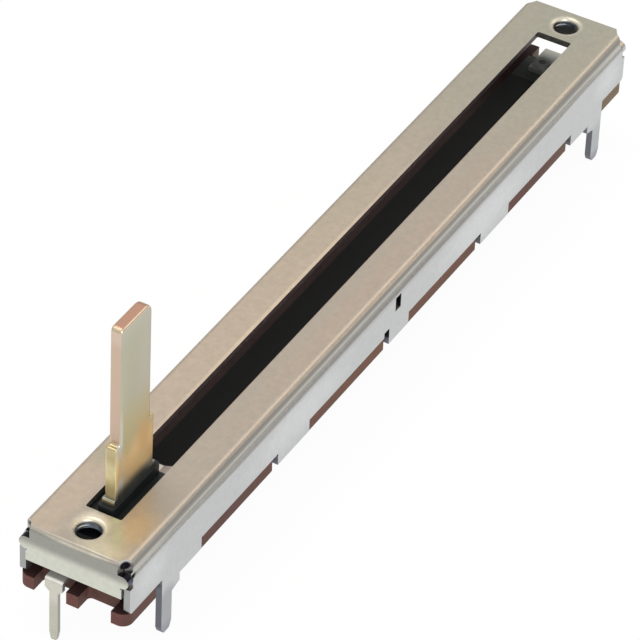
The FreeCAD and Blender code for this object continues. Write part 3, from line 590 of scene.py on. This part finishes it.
LAMINATE = Laminate(
    "phenolic_paper_laminate", "5a3c35", (
        Tint("684738", 1.0, (0.0, 0.0, 4.7), (24.0, ALL, ALL), 0.8),
        Tint("766550", 0.9, (38.0, 0.0, 4.7), (16.0, ALL, ALL), 0.8),
        # painted shade: the board's broad faces darkened, as they lie in shadow inside the frame; its top
        # between the walls a little less dark
        Tint("34201f", 1.0, facing=UP, both=True),
        Tint("544543", 1.0, (0.0, 0.0, 5.3), (33.0, ALL, 0.6), 0.2, facing=UP),
        Tint("653f3a", 0.9, (-37.6, 0.0, 4.7), (1.2, ALL, ALL), 0.3, facing=ALONG, both=True)),
    grain_mm=0.35, grain=0.24, roughness=0.6)
CARBON_INK = Ink("printed_carbon_ink", "2f2f2f", grain_mm=0.09, grain=0.12, roughness=0.6)
SILVER_INK = Ink("printed_silver_ink", "565955", grain_mm=0.09, grain=0.1, roughness=0.5, metallic=0.6)
ACETAL = BlackAcetal("black_moulded_acetal", "15191a", grain_mm=1.5, grain=0.15, roughness=0.48)
TINNED_BRASS = PlatedCopperAlloy("tin_plated_brass", "cccabe", (
    Tint("bebdaf", 1.0, (0.0, 0.0, 0.0), (ALL, ALL, 4.2), 0.3),
    Tint("a9aca6", 0.9, (34.4, 0.0, 5.6), (3.0, ALL, 1.4), 0.5),
    # painted light: the near terminal's foot lightened where it lies in the flange's shadow
    Tint("f6f4ea", 1.0, (-36.8, 0.0, 5.4), (1.5, ALL, 1.2), 0.4, facing=UP, cosines=(0.5, 1.0)),
    Tint("9c9a98", 0.9, facing=ACROSS, both=True)), grain_mm=0.5, grain=0.04, roughness=0.4, metallic=0.6)
SPRING_BRONZE = PlatedCopperAlloy("silver_plated_bronze", "d2c6ba", grain_mm=0.5, grain=0.08, roughness=0.35)


def dress(node: str, material: bpy.types.Material) -> None:
    """Gives one piece of the model its finish.

    Args:
        node: the piece's name.
        material: its finish.
    """
    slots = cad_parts[node].data.materials
    slots.clear()
    slots.append(material)
    LOG.info("%s: %s", node, material.name)


def surface_mesh(name: str, grid: np.ndarray, closed_across: bool) -> bpy.types.Object:
    """Makes a mesh from a grid of points, one face for each cell.

    Args:
        name: the piece's name.
        grid: points as rows x columns x 3, in metres.
        closed_across: whether the last column joins the first.

    Returns:
        The new object, linked to the scene, with both ends of the strip closed when it is a tube.
    """
    rows, columns = grid.shape[:2]
    index = np.arange(rows * columns).reshape(rows, columns)
    right = np.roll(index, -1, axis=1) if closed_across else index[:, 1:]
    left = index if closed_across else index[:, :-1]
    quads = np.stack([left[:-1], left[1:], right[1:], right[:-1]], axis=-1).reshape(-1, 4)
    faces = quads.tolist()
    if closed_across:
        faces += [index[0].tolist(), index[-1, ::-1].tolist()]
    mesh = bpy.data.meshes.new(name)
    mesh.from_pydata(grid.reshape(-1, 3).tolist(), [], faces)
    mesh.validate()
    piece = bpy.data.objects.new(name, mesh)
    bpy.context.scene.collection.objects.link(piece)
    return piece


@dataclass
class Housing:
    """The fixed half: folded frame, board, printed tracks, terminals, eyelets and the cut threads.

    Attributes:
        thread_pitch: rise of the thread in one turn, in mm.
        bore: radius of the tapped bore.
        thread_depth: how far the thread's crest stands in the bore.
        bore_top: where the straight bore starts, above the origin.
        bore_low: where it ends.
        hole_at: distance of the holes from the middle.
        end_room: bore left plain at each end of the thread, as a share of the pitch.
        foot_half: half width of the thread at the wall, as a share of the pitch.
        crest_half: half width of its crest, as a share of the pitch.
        sunk: how far its foot lies in the wall, as a share of its depth.
        least: share of its depth that is left at its ends, so that they close cleanly.
        steps: steps of the surface in one turn.
    """

    thread_pitch: float = 0.4
    bore: float = 0.95
    thread_depth: float = 0.08
    bore_top: float = 9.45
    bore_low: float = 9.06
    hole_at: float = HOLE
    end_room: float = 0.3
    foot_half: float = 0.28
    crest_half: float = 0.06
    sunk: float = 0.02
    least: float = 0.02
    steps: int = 72

    def thread(self, name: str, x: float) -> bpy.types.Object:
        """Builds the thread of one tapped hole.

        The surface is a small triangle carried along a helix: at angle a the helix has risen by the
        pitch times a over one turn, and the triangle's crest stands inward by the thread's depth, which
        grows from almost nothing and falls back to it over the first and last quarter turn.

        Args:
            name: the piece's name.
            x: the hole's place along the body, in mm.

        Returns:
            The thread.
        """
        rise = self.bore_top - self.bore_low - 2 * self.end_room * self.thread_pitch
        turns = rise / self.thread_pitch
        angle = np.linspace(0.0, 2 * math.pi * turns, int(self.steps * turns) + 1)[:, None]
        ease = np.clip(np.minimum(angle, angle[-1] - angle) / (math.pi / 2), self.least, 1.0)
        profile = np.array([[self.sunk, -self.foot_half], [-1.0, -self.crest_half],
                            [-1.0, self.crest_half], [self.sunk, self.foot_half]])
        radius = self.bore + ease * self.thread_depth * profile[None, :, 0]
        height = (self.bore_low + self.end_room * self.thread_pitch
                  + self.thread_pitch * angle / (2 * math.pi) + self.thread_pitch * profile[None, :, 1])
        grid = np.stack([x + radius * np.cos(angle), radius * np.sin(angle), height], axis=-1) * MM
        return surface_mesh(name, grid, closed_across=True)

    def build(self) -> None:
        """Cuts the threads and dresses every fixed piece."""
        LOG.info("body %s", Body.HOUSING.value)
        steel = FRAME_STEEL.material()
        dress("frame", steel)
        dress("board", LAMINATE.material())
        dress("resistive_track", CARBON_INK.material())
        silver = SILVER_INK.material()
        for node in ("near_pad", "far_pad", "collector_track"):
            dress(node, silver)
        tinned = TINNED_BRASS.material()
        for node in ("near_terminal", "far_terminal_left", "far_terminal_right",
                     "near_eyelet", "far_eyelet_left", "far_eyelet_right"):
            dress(node, tinned)
        for name, x in (("near_thread", -self.hole_at), ("far_thread", self.hole_at)):
            piece = self.thread(name, x)
            piece.data.materials.append(steel)
            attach(piece, Body.HOUSING.value)
            LOG.info("%s: cut, %s", name, steel.name)


@dataclass
class Slider:
    """The moving half: lever, carrier, wiper spring and friction spring."""

    def build(self) -> None:
        """Dresses every moving piece."""
        LOG.info("body %s", Body.SLIDER.value)
        dress("lever", LEVER_STEEL.material())
        dress("carrier", ACETAL.material())
        bronze = SPRING_BRONZE.material()
        for node in ("wiper_spring", "friction_spring"):
            dress(node, bronze)


@dataclass
class Studio:
    """Pale floor, plain soft light and the camera.

    Attributes:
        azimuth: the camera's turn round the object, in degrees.
        elevation: its height above the horizon, in degrees.
        roll: turn of the picture, in degrees.
        distance: from the aim plane, in mm.
        aim: sideways and upward place of the picture's middle, in mm.
        face_high: height of the plane that the camera was fitted to, in mm.
        focal_px: focal length that the fit gave, in pixels of the picture.
        picture_px: the picture's edge, in pixels.
        sensor_mm: width of the sensor.
        clip: nearest and farthest distance that is drawn, in metres.
        floor_half: half the floor's edge, in metres.
        floor_glow: share of plain white that cameras and mirrors see on the floor; the rest keeps shadows.
    """

    azimuth: float = -61.749
    elevation: float = 38.956
    roll: float = 2.717
    distance: float = 353.376
    aim: tuple[float, float] = (-1.759, -4.459)
    face_high: float = FACE
    focal_px: float = 4768.839
    picture_px: int = 640
    sensor_mm: float = 36.0
    clip: tuple[float, float] = (0.01, 20.0)
    floor_half: float = 4.0
    floor_glow: float = 0.95

    def camera(self) -> None:
        """Places the camera; its axes are the view axes turned by the roll."""
        turn, tilt, roll = (math.radians(a) for a in (self.azimuth, self.elevation, self.roll))
        back = Vector((math.sin(turn) * math.cos(tilt), -math.cos(turn) * math.cos(tilt), math.sin(tilt)))
        level = (-back).cross(Vector(UP)).normalized()
        upright = level.cross(-back)
        right = math.cos(roll) * level + math.sin(roll) * upright
        above = -math.sin(roll) * level + math.cos(roll) * upright
        eye = (right * self.aim[0] + above * self.aim[1] + back * self.distance
               + Vector((0, 0, self.face_high)))
        camera = bpy.data.objects.new("camera", bpy.data.cameras.new("camera"))
        bpy.context.scene.collection.objects.link(camera)
        axes = Matrix((right, above, back)).transposed().to_4x4()
        camera.matrix_world = Matrix.Translation(eye * MM) @ axes
        camera.data.lens = self.focal_px / self.picture_px * self.sensor_mm
        camera.data.sensor_width = self.sensor_mm
        camera.data.clip_start, camera.data.clip_end = self.clip
        bpy.context.scene.camera = camera

    def lamp(self, name: str, place: tuple[float, float, float], size: float, watts: float,
             colour: str) -> None:
        """Adds one square soft lamp that points at the object.

        Args:
            name: the lamp's name.
            place: where it stands, in metres.
            size: its edge, in metres.
            watts: its power.
            colour: its tint.
        """
        light = bpy.data.lights.new(name, "AREA")
        light.size = size
        light.energy = watts
        light.color = linear(colour)[:3]
        lamp = bpy.data.objects.new(name, light)
        lamp.location = place
        lamp.rotation_mode = "QUATERNION"
        lamp.rotation_quaternion = (-Vector(place)).to_track_quat("-Z", "Y")
        bpy.context.scene.collection.objects.link(lamp)

    def floor(self) -> None:
        """Lays a plain pale floor that keeps the object's shadow and looks white to camera and mirrors."""
        half = self.floor_half
        mesh = bpy.data.meshes.new("floor")
        mesh.from_pydata([(-half, -half, 0), (half, -half, 0), (half, half, 0), (-half, half, 0)], [],
                         [(0, 1, 2, 3)])
        floor = bpy.data.objects.new("floor", mesh)
        bpy.context.scene.collection.objects.link(floor)
        material = bpy.data.materials.new("pale_floor")
        material.use_nodes = True
        tree = material.node_tree
        tree.nodes.clear()
        path = put(tree, "LightPath")
        seen = put(tree, "Math", {0: path.outputs["Is Camera Ray"], 1: path.outputs["Is Glossy Ray"]},
                   {"operation": "ADD"})
        seen = put(tree, "Math", {0: seen.outputs[0], 1: path.outputs["Is Transmission Ray"]},
                   {"operation": "ADD", "use_clamp": True})
        share = put(tree, "Math", {0: seen.outputs[0], 1: self.floor_glow}, {"operation": "MULTIPLY"})
        paint = put(tree, "BsdfDiffuse", {"Color": linear("fafafa")})
        glow = put(tree, "Emission", {"Color": linear("ffffff"), "Strength": 1.0})
        mix = put(tree, "MixShader", {0: share.outputs[0], 1: paint.outputs[0], 2: glow.outputs[0]})
        put(tree, "OutputMaterial", {"Surface": mix.outputs[0]})
        mesh.materials.append(material)

    def sky(self) -> None:
        """Lights the scene evenly: pale above, a little darker towards the horizon."""
        world = bpy.data.worlds.new("studio")
        bpy.context.scene.world = world
        world.use_nodes = True
        tree = world.node_tree
        tree.nodes.clear()
        direction = put(tree, "TexCoord").outputs["Generated"]
        height = put(tree, "SeparateXYZ", {0: direction})
        shade = put(tree, "ValToRGB", {0: height.outputs["Z"]}, ramp=[
            (0.0, "868684"), (0.1, "999997"), (0.3, "dadad8"), (0.5, "f0f0ee"), (1.0, "f4f4f4")])
        back = put(tree, "Background", {"Color": shade.outputs["Color"], "Strength": 1.0})
        put(tree, "OutputWorld", {"Surface": back.outputs[0]})

    def build(self) -> None:
        """Sets up the floor, the light and the camera."""
        bpy.context.scene.view_settings.view_transform = "Standard"
        self.floor()
        self.sky()
        self.lamp("fold_lamp", place=(0.62, -0.33, 0.57), size=0.4, watts=0.68, colour="fff0e0")
        self.lamp("end_lamp", place=(-0.04, 0.33, 0.84), size=0.4, watts=1.6, colour="fffaf0")
        self.lamp("side_lamp", place=(-0.7, -0.6, 0.5), size=0.5, watts=3.0, colour="ffffff")
        self.camera()


def main() -> None:
    """Builds the potentiometer's looks and the studio."""
    logging.basicConfig(level=logging.INFO, format="%(message)s")
    Housing().build()
    Slider().build()
    Studio().build()


if __name__ == "__main__":
    main()
